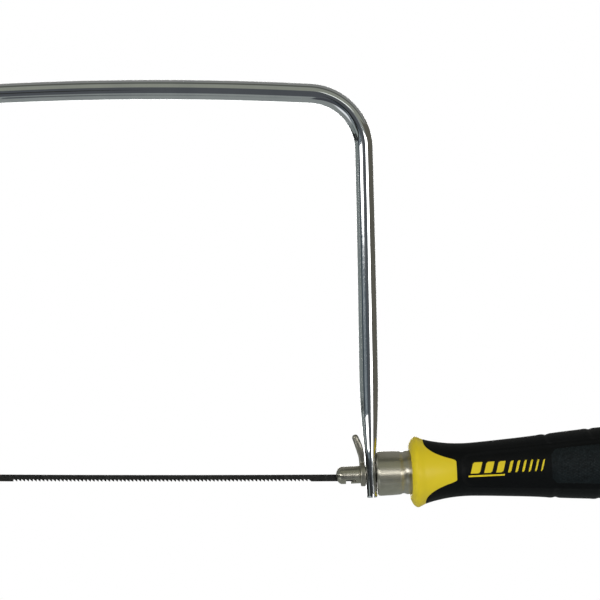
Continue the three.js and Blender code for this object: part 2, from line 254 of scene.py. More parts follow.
def lathe(name, profile, sides=96):
    """(along, radius) points turned about X. The ends lie on the axis, or meet."""
    closed = profile[0] == profile[-1]
    verts, rings = [], []
    for along, radius in profile[:-1] if closed else profile:
        count = 1 if radius < 1e-6 else sides
        rings.append(range(len(verts), len(verts) + count))
        verts += [around(along, radius, 2 * math.pi * i / sides) for i in range(count)]
    return mesh_object(name, verts, skin(rings, closed))


def loft(name, rings, closed=False):
    """A skin over rings of points, with flat ends unless it closes on itself."""
    sides = len(rings[0])
    numbers = [range(i * sides, (i + 1) * sides) for i in range(len(rings))]
    faces = skin(numbers, closed)
    if not closed:
        faces += [list(numbers[0]), list(numbers[-1])]
    return mesh_object(name, [p for ring in rings for p in ring], faces)


def prism(name, outline, low, high):
    """A closed outline of (x, z) points, extruded from one y to another."""
    return loft(name, [[Vector((x, y, z)) for x, z in outline] for y in (low, high)])


def applied(obj):
    """Bakes the object's modifiers into its mesh."""
    graph = bpy.context.evaluated_depsgraph_get()
    mesh = bpy.data.meshes.new_from_object(obj.evaluated_get(graph))
    obj.modifiers.clear()
    old = obj.data
    obj.data = mesh
    bpy.data.meshes.remove(old)
    return obj


def boolean(obj, operation, *others):
    for other in others:
        modifier = obj.modifiers.new("join", "BOOLEAN")
        modifier.operation = operation
        modifier.solver = "EXACT"
        modifier.object = other
    applied(obj)
    for other in others:
        bpy.data.objects.remove(other)
    return obj


def softened(obj, width, angle=35, segments=2):
    """Rounds the object's sharp edges slightly, as tumbling and plating do."""
    modifier = obj.modifiers.new("edges", "BEVEL")
    modifier.width = width
    modifier.segments = segments
    modifier.limit_method = "ANGLE"
    modifier.angle_limit = math.radians(angle)
    modifier.harden_normals = False
    return applied(obj)


def settled(obj, place, material, body, *nodes, sharp=40, slot=None):
    """Puts a finished piece into the model: in its place, shaded, on its body, instead of its CAD nodes."""
    obj.data.transform(place)
    if place.determinant() < 0:
        obj.data.flip_normals()
    obj.data.materials.clear()
    obj.data.materials.append(material)
    for polygon in obj.data.polygons:
        polygon.use_smooth = True
    obj.data.set_sharp_from_angle(angle=math.radians(sharp))
    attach(obj, body)
    if nodes:
        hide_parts(*nodes)
    return obj


# ---- materials

class Nodes:
    """A node tree, with short ways to add its nodes and to join them."""

    def __init__(self, owner):
        owner.use_nodes = True
        self.tree = owner.node_tree

    def node(self, kind, inputs=None, **settings):
        """A new node, with the values of its inputs by name or number, and its other settings."""
        node = self.tree.nodes.new(kind)
        for key, value in settings.items():
            setattr(node, key, value)
        for socket, value in (inputs or {}).items():
            node.inputs[socket].default_value = value
        return node

    def link(self, out, into):
        self.tree.links.new(out, into)


class Shader(Nodes):
    """A principled material, with short ways to add noise, colour ramps and bump to it."""

    def __init__(self, name, **sockets):
        self.material = bpy.data.materials.new(name)
        super().__init__(self.material)
        self.bsdf = self.tree.nodes["Principled BSDF"]
        for socket, value in sockets.items():
            self.bsdf.inputs[socket.replace("_", " ")].default_value = value

    def noise(self, scale, stretch=(1, 1, 1), detail=4.0):
        """Noise in the piece's own space, in features per metre."""
        place = self.node("ShaderNodeTexCoord")
        mapping = self.node("ShaderNodeMapping", {"Scale": stretch})
        noise = self.node("ShaderNodeTexNoise", {"Scale": scale, "Detail": detail, "Roughness": 0.55})
        self.link(place.outputs["Object"], mapping.inputs["Vector"])
        self.link(mapping.outputs["Vector"], noise.inputs["Vector"])
        return noise.outputs["Fac"]

    def rough(self, value, low, high):
        """Makes the surface's roughness follow a value."""
        span = {"From Min": 0.3, "From Max": 0.7, "To Min": low, "To Max": high}
        node = self.node("ShaderNodeMapRange", span)
        self.link(value, node.inputs["Value"])
        self.link(node.outputs["Result"], self.bsdf.inputs["Roughness"])

    def colours(self, value, *stops):
        """Makes the base colour follow a value, through (position, colour) stops."""
        ramp = self.node("ShaderNodeValToRGB")
        for element, (position, colour) in zip(ramp.color_ramp.elements, stops):
            element.position = position
            element.color = (*colour, 1)
        self.link(value, ramp.inputs["Fac"])
        self.link(ramp.outputs["Color"], self.bsdf.inputs["Base Color"])

    def bump(self, height, distance, strength=1.0, below=None):
        """Raises the surface by a height, on top of the bump `below`."""
        bump = self.node("ShaderNodeBump", {"Distance": distance, "Strength": strength})
        self.link(height, bump.inputs["Height"])
        if below:
            self.link(below, bump.inputs["Normal"])
        self.link(bump.outputs["Normal"], self.bsdf.inputs["Normal"])
        return bump.outputs["Normal"]


def chrome():
    """Bright chrome plate with the faint waviness and rubbing of a drawn rod."""
    shader = Shader("chrome_plate", Metallic=1.0)
    shader.colours(shader.noise(60), (0.35, (0.70, 0.71, 0.72)), (0.65, (0.77, 0.78, 0.78)))
    shader.rough(shader.noise(500), 0.04, 0.09)
    wave = shader.bump(shader.noise(150, detail=2), 0.00004, 0.12)
    shader.bump(shader.noise(1500), 0.000004, 0.25, below=wave)
    return shader.material


def nickel(name, turned, roughness, tone=1.0):
    """Warm nickel plate. Turned pieces are marked round X, which draws their highlights out along it."""
    shader = Shader(name, Metallic=1.0)
    dull = [tone * part for part in (0.50, 0.468, 0.38)]
    clean = [tone * part for part in (0.58, 0.55, 0.46)]
    shader.colours(shader.noise(250), (0.3, dull), (0.7, clean))
    shader.rough(shader.noise(700), roughness - 0.04, roughness + 0.04)
    if turned:
        shader.bsdf.inputs["Anisotropic"].default_value = 0.9
        shader.bsdf.inputs["Anisotropic Rotation"].default_value = 0.25
        round_x = shader.node("ShaderNodeTangent", direction_type="RADIAL", axis="X")
        shader.link(round_x.outputs["Tangent"], shader.bsdf.inputs["Tangent"])
        shader.bump(shader.noise(1, (2600, 40, 40), detail=2), 0.00001, 0.05)
    else:
        shader.bump(shader.noise(700, detail=3), 0.00003, 0.15)
    return shader.material


def zinc():
    """Dull zinc plate, mottled and finely pitted."""
    shader = Shader("zinc_plate", Metallic=1.0)
    shader.colours(shader.noise(300), (0.3, (0.45, 0.46, 0.48)), (0.7, (0.62, 0.62, 0.61)))
    shader.rough(shader.noise(1500), 0.3, 0.48)
    shader.bump(shader.noise(3500), 0.00001, 0.4)
    return shader.material


def blade_steel():
    """Dark tempered steel, ground along its length, with a film of oil."""
    shader = Shader("dark_blade_steel", Metallic=0.85)
    shader.colours(shader.noise(320), (0.3, (0.030, 0.030, 0.029)), (0.7, (0.062, 0.060, 0.056)))
    shader.rough(shader.noise(1, (200, 4000, 4000)), 0.34, 0.5)
    shader.bump(shader.noise(1, (160, 9000, 9000), detail=2), 0.000006, 0.4)
    return shader.material


def yellow_plastic(name, roughness):
    """Moulded yellow plastic with a fine spark texture."""
    shader = Shader(name, Specular_IOR_Level=0.22)
    shader.colours(shader.noise(45), (0.3, (0.68, 0.51, 0.014)), (0.7, (0.74, 0.56, 0.019)))
    shader.rough(shader.noise(700), roughness - 0.05, roughness + 0.06)
    shader.bump(shader.noise(3800), 0.000012, 0.35)
    return shader.material


def black_rubber(name, shine, mottle, dark, pale):
    """Soft black overmould with a fine leathery grain, and paler blotches of `mottle` per metre."""
    shader = Shader(name, Specular_IOR_Level=shine)
    shader.colours(shader.noise(mottle), (0.3, dark), (0.72, pale))
    shader.rough(shader.noise(900), 0.46, 0.62)
    grain = shader.bump(shader.noise(1500, detail=3), 0.00005, 0.35)
    shader.bump(shader.noise(5200), 0.00001, 0.4, below=grain)
    return shader.material


CHROME = chrome()
NICKEL_SATIN = nickel("nickel_satin", True, 0.38, tone=1.14)
NICKEL_BRIGHT = nickel("nickel_bright", True, 0.29)
NICKEL_CAST = nickel("nickel_cast", False, 0.37, tone=0.85)
ZINC = zinc()
STEEL = blade_steel()
YELLOW = yellow_plastic("yellow_plastic", 0.36)
INLAY = yellow_plastic("yellow_inlay", 0.5)
RUBBER = black_rubber("black_soft_grip", 0.17, 110, (0.0009, 0.0013, 0.0016), (0.0018, 0.0024, 0.0030))
# The stippled pads' base colours are paler and bluer than the plain grip's. This is a painted sheen for the
# light their pimples catch.
RUBBER_STIPPLED = black_rubber(
    "black_stippled_grip", 0.22, 700, (0.0007, 0.0027, 0.0037), (0.0061, 0.0110, 0.0131),
)


# ---- bow

def bow_ring(at, heading, thick, width):
    """A section across the rod: a circle, drawn out along Y where the rod is wider than thick."""
    across = Vector((-heading.z, 0, heading.x))
    round_part = min(thick, width) / 2
    flat_part = width / 2 - round_part
    ring = []
    for i in range(BOW_SIDES):
        angle = 2 * math.pi * (i + 0.5) / BOW_SIDES
        point = at + across * (thick / 2 * math.cos(angle))
        point.y += round_part * math.sin(angle) + math.copysign(flat_part, math.sin(angle))
        ring.append(point)
    return ring


def downward(degrees, side):
    """A direction this far down from level, towards one end of the saw."""
    angle = math.radians(degrees)
    return Vector((side * math.cos(angle), 0, -math.sin(angle)))


def rod_ring(at, heading, thick, height=FLAT["thin_from"], width=None):
    """The rod's section: round, then flattened towards the foot."""
    up = min(max((height - FLAT["end"]) / (FLAT["thin_from"] - FLAT["end"]), 0), 1)
    depth = lerp(min(FOOT_THICK, thick), thick, 1 - (1 - up) ** FLAT["fall"])
    narrowness = smoothstep(FLAT["end"], FLAT["wide_from"], height)
    wide = width if width is not None else lerp(FOOT["width"], ROD["width"], narrowness)
    return bow_ring(at, heading, depth, wide)


def arc_point(centre, radius, degrees, side):
    """A point on an arc in the bow's plane, this far round from its top."""
    angle = math.radians(degrees)
    return centre + Vector((side * radius * math.sin(angle), 0, radius * math.cos(angle)))


def back_rings(side, centre):
    """From the middle of the bow's back to the start of one corner."""
    rings = []
    for i in range(BOW_STEPS["back"]):
        share = i / BOW_STEPS["back"]
        degrees = BOW["corner_angle"] * share
        thick = lerp(BOW["back_height"], CORNER_THICK[0], share**4)
        at = arc_point(centre, BOW["back_radius"], degrees, side)
        rings.append(rod_ring(at, downward(degrees, side), thick))
    return rings


def corner_rings(side, centre):
    """Round one corner, where the rod is squeezed a little thinner on its way down."""
    rings = []
    for i in range(BOW_STEPS["corner"] + 1):
        share = i / BOW_STEPS["corner"]
        degrees = lerp(BOW["corner_angle"], 90 - BOW["leg_lean"], share)
        at = arc_point(centre, BOW["corner_radius"], degrees, side)
        rings.append(rod_ring(at, downward(degrees, side), lerp(*CORNER_THICK, share)))
    return rings


def leg_rings(side, top, heading, foot, down):
    """Down one leg: a Bezier curve from the corner to the foot, which springs slightly outwards."""
    rings = []
    reach = (top - foot).length / 3
    a, b, c, d = top, top + heading * reach, foot - down * reach, foot
    for i in range(1, BOW_STEPS["leg"] + 1):
        t = i / BOW_STEPS["leg"]
        at = a * (1 - t) ** 3 + 3 * b * t * (1 - t) ** 2 + 3 * c * t**2 * (1 - t) + d * t**3
        tangent = ((b - a) * (1 - t) ** 2 + 2 * (c - b) * t * (1 - t) + (d - c) * t**2).normalized()
        height = (at - foot).length
        at.x += side * LEG_BULGE * math.sin(math.pi * t**1.4)
        thick = lerp(CORNER_THICK[1], ROD["leg"], smoothstep(0, 0.7, t))
        rings.append(rod_ring(at, tangent, thick, height))
    return rings


def tip_rings(foot, down):
    """The foot's flat tip, with small rounded corners and an eased edge."""
    rings = []
    corner, edge = FOOT["corner"], FOOT["edge"]
    for i in range(BOW_STEPS["tip"] + 1):
        turn = i / BOW_STEPS["tip"] * math.radians(86)
        below = FOOT["drop"] - corner + corner * math.sin(turn)
        thin = edge * max(0, 1 - (FOOT["drop"] - below) / edge)
        width = FOOT["width"] - 2 * corner * (1 - math.cos(turn))
        rings.append(rod_ring(foot + down * below, down, FOOT_THICK - thin, 0, width))
    return rings


def half_bow(side, foot, foot_lean):
    """Rings from the middle of the bow's back to the tip of one foot."""
    back_centre = Vector((BOW_CENTRE_X, 0, BOW_DEPTH - BOW["back_radius"]))
    corner_radius, leg_angle = BOW["corner_radius"], 90 - BOW["leg_lean"]
    corner_centre = arc_point(back_centre, BOW["back_radius"] - corner_radius, BOW["corner_angle"], side)
    leg_top = arc_point(corner_centre, corner_radius, leg_angle, side)
    down = downward(90 - foot_lean, side)
    return [
        *back_rings(side, back_centre),
        *corner_rings(side, corner_centre),
        *leg_rings(side, leg_top, downward(leg_angle, side), foot, down),
        *tip_rings(foot, down),
    ]


def bow():
    """The bow's one rod, drilled for the holders through both feet."""
    inset = (FOOT["inside"] - FOOT["outside"]) / 2
    front_foot = Vector((BOW_CENTRE_X - LEG_FOOT_X + inset, 0, 0))
    rear_reach = REAR_REACH - inset
    rear_foot = Vector((HALF_SPAN + rear_reach * math.cos(TILT), 0, rear_reach * math.sin(TILT)))
    front = half_bow(-1, front_foot, 0)[1:]
    # The front half is drawn the other way round, so its rings are turned to match the rear half's.
    order = [(BOW_SIDES // 2 - 1 - i) % BOW_SIDES for i in range(BOW_SIDES)]
    turned = [[ring[i] for i in order] for ring in reversed(front)]
    obj = loft("bow_rod", [*turned, *half_bow(1, rear_foot, math.degrees(TILT))])
    reach, bore = FOOT_THICK, FOOT["bore"]
    top, bottom = CLEFT["top"], CLEFT["bottom"]
    wedge = [(0, bottom), (CLEFT["bottom_far"], bottom), (CLEFT["top_far"], top), (CLEFT["near"], top)]
    cutters = []
    for foot, tilt in ((front_foot, 0), (rear_foot, TILT)):
        hole = lathe("hole", [(-reach, 0), (-reach, bore), (reach, bore), (reach, 0)], 64)
        cleft = prism("cleft", wedge, -8, 8)
        for cutter in (hole, cleft):
            cutter.data.transform(Matrix.Translation(foot) @ Matrix.Rotation(-tilt, 4, "Y"))
            cutters.append(cutter)
    boolean(obj, "DIFFERENCE", *cutters)
    settled(obj, MIDDLE, CHROME, "frame", "frame_bow", sharp=50)


# ---- blade

def blade_columns():
    """(x, lowest z) of each column along the blade, and the x of the tip that hangs after some of them."""
    bottom = BLADE["bottom"]
    gullet = bottom + BLADE["depth"]
    x = BLADE["first"]
    columns = [(-BLADE["end"], bottom), (x, bottom)]
    tips = {}
    while x + TOOTH_PITCH < BLADE["last"]:
        columns += [(x + 0.07 * TOOTH_PITCH, gullet), (x + 0.22 * TOOTH_PITCH, gullet)]
        tips[len(columns) - 1] = x + TOOTH_PITCH
        x += TOOTH_PITCH
    last_tip = tips.pop(len(columns) - 1)
    return [*columns, (last_tip, bottom), (BLADE["end"], bottom)], tips


def blade():
    """The blade, with plain ends and teeth that point to the handle, set left and right by turns."""
    half, top, bevel = BLADE["thick"] / 2, BLADE["top"], 0.08
    verts, faces = [], []

    def vert(x, y, z):
        sag = BLADE["bow"] * (1 - (x / BLADE["end"]) ** 2)
        verts.append((x, y, z - sag))
        return len(verts) - 1

    columns, tips = blade_columns()
    strips = []
    for x, low in columns:
        strips.append([
            vert(x, -half + bevel, top), vert(x, -half, top - bevel), vert(x, -half, low),
            vert(x, half, low), vert(x, half, top - bevel), vert(x, half - bevel, top),
        ])
    for number, (a, b) in enumerate(zip(strips, strips[1:])):
        for i in range(6):
            if i == 2 and number in tips:
                continue  # a tooth takes the place of the lower edge here
            j = (i + 1) % 6
            faces.append([a[i], a[j], b[j], b[i]])
        if number in tips:
            lean = TOOTH_SET * (1 if number % 4 == 1 else -1)
            near, far = (vert(tips[number], y + lean, BLADE["bottom"]) for y in (-half, half))
            faces += [[a[2], b[2], near], [a[3], far, b[3]]]
            faces += [[a[2], near, far, a[3]], [b[2], b[3], far, near]]
    faces += [strips[0], strips[-1][::-1]]
    settled(mesh_object("blade_strip", verts, faces), MIDDLE, STEEL, "blade", "saw_blade", sharp=20)


def blade_pins():
    """The two pins pressed through the blade's ends."""
    half = PIN["length"] / 2
    radius = PIN["radius"]
    profile = filleted([(-half, 0), (-half, radius, 0.2), (half, radius, 0.2), (half, 0)])
    crosswise = Matrix.Rotation(math.pi / 2, 4, "Z")
    for side, name in ((-1, "front_blade_pin"), (1, "rear_blade_pin")):
        place = Matrix.Translation((side * HALF_SPAN, 0, PIN["height"])) @ crosswise
        settled(lathe(name + "_steel", profile, 32), MIDDLE @ place, STEEL, "blade", name)


# ---- holders

def holder(name, tail):
    """A turned spigot with a domed nose, a slot for the blade and a stepped pocket for its pin."""
    radius, nose, length = HOLDER["radius"], HOLDER["nose"], HOLDER["nose_length"]
    dome = []
    for i in range(17):
        angle = i / 16 * math.pi / 2
        dome.append((nose + length * (1 - math.cos(angle)), radius * math.sin(angle)))
    obj = lathe(name, [*dome, *tail], 96)
    below = -radius - 1
    end, ceiling = SLOT["end"], SLOT["roof"]
    slot = [(nose - 1, below), (end, below), (end, ceiling, 0.8), (nose - 1, ceiling)]
    half, reach, roof = POCKET["half"], POCKET["reach"], POCKET["roof"]
    cutters = [prism("slot", filleted(slot), -SLOT["width"] / 2, SLOT["width"] / 2)]
    # The pocket is open on its near side. On its far side it clears the pin's end, but is closed outside.
    near_side = (-POCKET["half_length"], 0, POCKET["lip"])
    far_side = (-0.1, POCKET["far"], POCKET["far_lip"])
    for start_y, end_y, lip in (near_side, far_side):
        pocket = [
            (-half, below), (half, below), (half, lip, 0.35), (reach, lip, 0.5), (reach, roof, 0.9),
            (-half, roof, 0.9), (-half, below),
        ]
        cutters.append(prism("pocket", filleted(pocket)[:-1], start_y, end_y))
    return softened(boolean(obj, "DIFFERENCE", *cutters), 0.12)


def arm_ring(at, heading, radius, squareness=2, sides=32):
    """A superellipse across the lever's arm."""
    across = Vector((-heading.z, 0, heading.x))
    ring = []
    for i in range(sides):
        angle = 2 * math.pi * i / sides
        cosine, sine = math.cos(angle), math.sin(angle)
        point = at + across * (radius * math.copysign(abs(cosine) ** (2 / squareness), cosine))
        point.y += radius * math.copysign(abs(sine) ** (2 / squareness), sine)
        ring.append(point)
    return ring


def lever_arm():
    """The lever's bent arm: flat-sided from its root, then round, with a domed end."""
    line = spline(LEVER_ARM, 6)
    rings = []
    for i, (x, z, radius) in enumerate(line):
        at = Vector((x, 0, z))
        run = line[min(i + 1, len(line) - 1)] - line[max(i - 1, 0)]
        heading = Vector((run.x, 0, run.y)).normalized()
        share = i / (len(line) - 1)
        rings.append(arm_ring(at, heading, radius, lerp(3.6, 2, smoothstep(0.75, 1, share))))
    for i in range(1, 6):
        turn = i / 6 * math.pi / 2
        rings.append(arm_ring(at + heading * radius * math.sin(turn), heading, radius * math.cos(turn)))
    return loft("arm", rings)


def lever(name, place, ring_start, body, node):
    """A cast ring and its arm, blended into one piece, then bored for the holder."""
    radius, length, bore = LEVER["ring_radius"], LEVER["ring_length"], LEVER["bore"]
    outline = [(0, 0), (0, radius, LEVER["edge"]), (length, radius, 0.25), (length, 0)]
    obj = lathe(name, filleted(outline, 6), 72)
    boolean(obj, "UNION", lever_arm())
    remesh = obj.modifiers.new("cast", "REMESH")
    remesh.mode = "VOXEL"
    remesh.voxel_size = 0.17
    smooth = obj.modifiers.new("blend", "SMOOTH")
    smooth.factor = 0.5
    smooth.iterations = 5
    applied(obj)
    boolean(obj, "DIFFERENCE", lathe("bore", [(-1, 0), (-1, bore), (length + 1, bore), (length + 1, 0)], 72))
    settled(obj, place @ Matrix.Translation((ring_start, 0, 0)), NICKEL_CAST, body, node, sharp=60)


def front_end():
    """The front holder, riveted over a washer outside the leg, and its lever."""
    ring_end = FRONT_REACH - FOOT["inside"] - LEVER_GAP
    washer_start = FRONT_REACH + FOOT["outside"] + RUNNING_GAP
    rivet_start = washer_start + WASHER["thick"] + SEAT_GAP
    head = []
    for i in range(12):
        angle = i / 12 * math.pi / 2
        head.append((rivet_start + RIVET["height"] * math.sin(angle), RIVET["radius"] * math.cos(angle)))
    head.append((rivet_start + RIVET["height"], 0))
    radius, neck = HOLDER["radius"], HOLDER["neck"]
    tail = [(ring_end, radius), (ring_end, neck), (rivet_start, neck), *head]
    settled(holder("front_holder_turned", tail), FRONT, NICKEL_BRIGHT, "front_holder", "front_blade_holder")
    lever("front_lever_cast", FRONT, ring_end - LEVER["ring_length"], "front_holder", "front_setting_lever")
    inner, outer = WASHER["bore"], WASHER["radius"]
    end = washer_start + WASHER["thick"]
    ring = filleted([
        (washer_start, inner), (washer_start, outer, 0.2), (end, outer, 0.2), (end, inner, 0.1),
        (washer_start, inner),
    ])
    settled(lathe("front_washer_plate", ring), FRONT, ZINC, "front_holder", "front_washer")


def rear_end():
    """The rear holder, bored for the tension stud, and its lever."""
    ring_end = REAR_REACH - FOOT["inside"] - LEVER_GAP
    socket, socket_start = STUD["socket"], STUD["socket_start"]
    tail = [(ring_end, HOLDER["radius"]), (ring_end, socket), (socket_start, socket), (socket_start, 0)]
    settled(holder("rear_holder_turned", tail), REAR, NICKEL_BRIGHT, "rear_holder", "rear_blade_holder")
    lever("rear_lever_cast", REAR, ring_end - LEVER["ring_length"], "rear_holder", "rear_setting_lever")


def stud():
    """The tension stud, threaded where it runs in the handle's nut."""
    sides, per_turn = 40, 8
    start, end, pitch = STUD["start"], STUD["end"], THREAD["pitch"]
    rings = []
    count = int((end - start) * per_turn / pitch)
    for row in range(count + 1):
        along = start + row * pitch / per_turn
        threaded = THREAD["depth"] * smoothstep(0, 1, along - THREAD["start"])
        taper = 0.7 * smoothstep(end - 1, end, along) + 0.3 * smoothstep(start + 0.4, start, along)
        ring = []
        for i in range(sides):
            phase = (along / pitch - i / sides) % 1
            depth = threaded * (1 - abs(2 * phase - 1))
            ring.append(around(along, STUD["radius"] - depth - taper, 2 * math.pi * i / sides))
        rings.append(ring)
    settled(loft("stud_threaded", rings), REAR, ZINC, "stud", "tension_stud", sharp=70)


# ---- handle

OUTLINE = spline(HANDLE_OUTLINE, 10)
BODY_OUTLINE = [p for p in OUTLINE if p.x > 30.2]  # behind the bolster's widest point


def base_radius(along):
    """The handle's outer radius, without its panels and grooves."""
    for a, b in zip(BODY_OUTLINE, BODY_OUTLINE[1:]):
        if along <= b.x:
            return lerp(a.y, b.y, max(along - a.x, 0) / max(b.x - a.x, 1e-6))
    return BODY_OUTLINE[-1].y


def tongue_edge(height):
    """Where yellow ends and black begins, for a height of -1 (bottom) to 1 (top) round the handle."""
    rise = (TONGUE["curve"] * max(0, TONGUE["width"] - abs(height))) ** 2
    return TONGUE["base"] + smooth_min(rise, TONGUE["length"], TONGUE["corner"])


def panel_half(along):
    """Half the side panel's height, measured round the grip."""
    return PANEL["half_at_start"] + PANEL["growth"] * (min(along, PANEL["widest_at"]) - PANEL["start"])


def panel_distance(along, arc):
    """How far a point is outside the side panel, in millimetres; inside it is negative."""
    middle = (PANEL["start"] + PANEL["end"]) / 2
    corner = PANEL["corner"]
    over_x = abs(along - middle) - (PANEL["end"] - PANEL["start"]) / 2 + corner
    over_z = abs(arc) - panel_half(along) + corner
    return math.hypot(max(over_x, 0), max(over_z, 0)) + min(max(over_x, over_z), 0) - corner


def dot_height(along, arc):
    """A field of small round pimples in staggered rows, from 0 between them to 1 on top."""
    pitch = DOTS["pitch"]
    row = round(along / (pitch * 0.866))
    shift = pitch / 2 * (row % 2)
    across = arc - shift
    gap_x = along - row * pitch * 0.866
    gap_z = across - pitch * round(across / pitch)
    return smoothstep(0.48 * pitch, 0.12 * pitch, math.hypot(gap_x, gap_z))


def grip_radius(along, angle):
    """The black grip's surface: recessed side panels, and scallops over the top and bottom."""
    radius = base_radius(along)
    height = math.sin(angle + HANDLE_TURN)
    arc = radius * math.asin(max(-1.0, min(1.0, height)))
    outside = panel_distance(along, arc)
    radius -= PANEL["depth"] * smoothstep(0.5, -0.5, outside)
    for rise, distance, width in PANEL_RIMS:
        radius += rise * gauss(outside - distance, width)
    away = smoothstep(*SCALLOP_FADE, outside)
    for k in range(SCALLOPS["count"]):
        gap = along - SCALLOPS["first"] - k * SCALLOPS["spacing"] + SCALLOPS["slant"] * height
        gap -= SCALLOPS["hook"] * (1 - abs(height)) ** 1.5
        radius -= away * SCALLOPS["depth"] * gauss(gap, SCALLOPS["width"])
        radius += away * SCALLOP_LIP["height"] * gauss(gap + SCALLOP_LIP["before"], SCALLOP_LIP["width"])
    return radius


def column_angles():
    """The angles round the handle at which its surface is drawn."""
    return [2 * math.pi * i / HANDLE_COLUMNS for i in range(HANDLE_COLUMNS)]


def transposed(columns):
    """Rings round the handle, from columns of points along it."""
    return [list(row) for row in zip(*columns)]


def handle_core():
    """The yellow core where it shows: the bolster, a tongue on each side, and its end at the butt."""
    columns = []
    face_end = BOLSTER_FACE_END
    for angle in column_angles():
        saddle = BOLSTER_SADDLE * math.cos(angle) ** 2
        edge = tongue_edge(math.sin(angle + HANDLE_TURN)) - PART_LINE / 2
        outer = []
        for point in OUTLINE:
            if point.x > edge and point.x > face_end:
                break
            setback = saddle * smoothstep(13.5, 9.8, point.y) * smoothstep(face_end, face_end - 2, point.x)
            on_face = Vector((min(point.x + setback, face_end), point.y))
            outer.append(on_face if point.x < face_end else point)
        outer.append(Vector((edge, base_radius(edge))))
        outer = resampled(outer, 56)
        outer[-1].y -= 0.05
        rim = [Vector((edge, outer[-1].y - drop)) for drop in (0.35, 1.0, 2.0)]
        inside = CORE_RADIUS + 0.05
        back = [Vector((at, inside)) for at in (edge - 0.5, lerp(edge, face_end, 0.5), face_end)]
        columns.append([around(p.x, p.y, angle) for p in [*outer, *rim, *back]])
    settled(loft("yellow_bolster", transposed(columns), closed=True), REAR, YELLOW, "handle", "handle_core",
            slot="yellow_plastic", sharp=50)
    end = HANDLE_END + 0.05
    disc = filleted([
        (140, 0), (140, CORE_RADIUS), (end, CORE_RADIUS, 0.5), (end, 1.6, 0.3), (end - 0.6, 1.1, 0.3),
        (end - 0.6, 0),
    ])
    settled(lathe("yellow_core_end", disc), REAR, YELLOW, "handle", slot="yellow_plastic", sharp=50)


def soft_grip():
    """The black overmould, from the edge of the yellow to the butt."""
    columns = []
    even_from, step, lead_rows = 60.0, 0.45, 44
    even_rows = int((HANDLE_OUTLINE[-1][0] - even_from) / step) + 1
    rest = [even_from + step * i for i in range(even_rows)]
    for angle in column_angles():
        edge = tongue_edge(math.sin(angle + HANDLE_TURN)) + PART_LINE / 2
        lead = [edge + (even_from - edge) * (i / lead_rows) ** 1.15 for i in range(lead_rows)]
        outer = [Vector((s, grip_radius(s, angle))) for s in lead + rest]
        outer[0].y -= 0.12
        under = [Vector((edge, outer[0].y - drop)) for drop in (2.0, 1.0, 0.3)]
        inside = CORE_RADIUS + 0.15
        end = HANDLE_END
        butt = [Vector((end, 9.0)), Vector((end, inside + 0.3)), Vector((end - 0.3, inside))]
        butt += [Vector((100, inside)), Vector((edge + 0.5, inside))]
        columns.append([around(p.x, p.y, angle) for p in [*under, *outer, *butt]])
    settled(loft("black_grip", transposed(columns), closed=True), REAR, RUBBER, "handle", "soft_grip",
            slot="black_rubber", sharp=60)


def side_patch(name, side, columns, rows, place_point, top, depth, material, slot):
    """A thin solid laid on one side of the grip.

    `place_point` gives (along, arc) for column and row shares, and `top` the height there over the panel.
    """
    verts, top_layer, bottom_layer = [], [], []
    for layer in (top_layer, bottom_layer):
        for i in range(columns + 1):
            for k in range(rows + 1):
                along, arc = place_point(i / columns, k / rows)
                turn = arc / base_radius(along)
                angle = (math.pi - turn if side == "near" else turn) - HANDLE_TURN
                on_rim = i in (0, columns) or k in (0, rows)
                lift = top(along, arc, on_rim) if layer is top_layer else -depth
                layer.append(len(verts))
                verts.append(around(along, base_radius(along) - PANEL["depth"] + lift, angle))
    stride = rows + 1
    faces = []
    for layer in (top_layer, bottom_layer):
        for i in range(columns):
            for k in range(rows):
                a = i * stride + k
                faces.append([layer[a], layer[a + 1], layer[a + 1 + stride], layer[a + stride]])
    rim = [*range(rows), *(i * stride + rows for i in range(columns))]
    rim += [columns * stride + k for k in range(rows, 0, -1)]
    rim += [i * stride for i in range(columns, 0, -1)]
    for a, b in zip(rim, rim[1:] + rim[:1]):
        faces.append([top_layer[a], top_layer[b], bottom_layer[b], bottom_layer[a]])
    settled(mesh_object(name, verts, faces), REAR, material, "handle", slot=slot, sharp=60)


def stippled_pads():
    """A patch of fine pimples in the rear part of each side panel."""
    start, end, cell = DOTS["start"], DOTS["end"], DOTS["cell"]

    def place_point(share_x, share_z):
        along = lerp(start, end, share_x)
        corner = 2.5 * (smoothstep(0.05, 0, share_x) + smoothstep(0.95, 1, share_x))
        return along, (panel_half(along) - 1.0 - corner) * (2 * share_z - 1)

    def top(along, arc, on_rim):
        fade = smoothstep(start, start + 5, along) * smoothstep(end, end - 3, along)
        return -0.1 if on_rim else 0.01 + DOTS["height"] * fade * dot_height(along, arc)

    columns = round((end - start) / cell)
    rows = round(2 * panel_half(end) / cell)
    for side in ("near", "far"):
        side_patch(f"grip_stipple_{side}", side, columns, rows, place_point, top, 0.6, RUBBER_STIPPLED,
                   "black_rubber")


def inlay_marks():
    """Plain slanted bars let into both side panels, three thick ones underlined and six thin ones."""
    for side in ("near", "far"):
        for number, (start, width, low, high) in enumerate(MARK_BARS):

            def place_point(share_x, share_z):
                arc = lerp(low, high, share_z)
                along = start + width * share_x + MARK_LEAN * arc / MARK_TOP
                return (along if side == "near" else MARK_MIDDLE * 2 - along), arc

            def top(along, arc, on_rim):
                return 0.0 if on_rim else 0.06

            columns = max(3, round(width / 0.7))
            side_patch(f"inlay_{side}_{number + 1}", side, columns, 8, place_point, top, 0.5, INLAY,
                       "yellow_plastic")


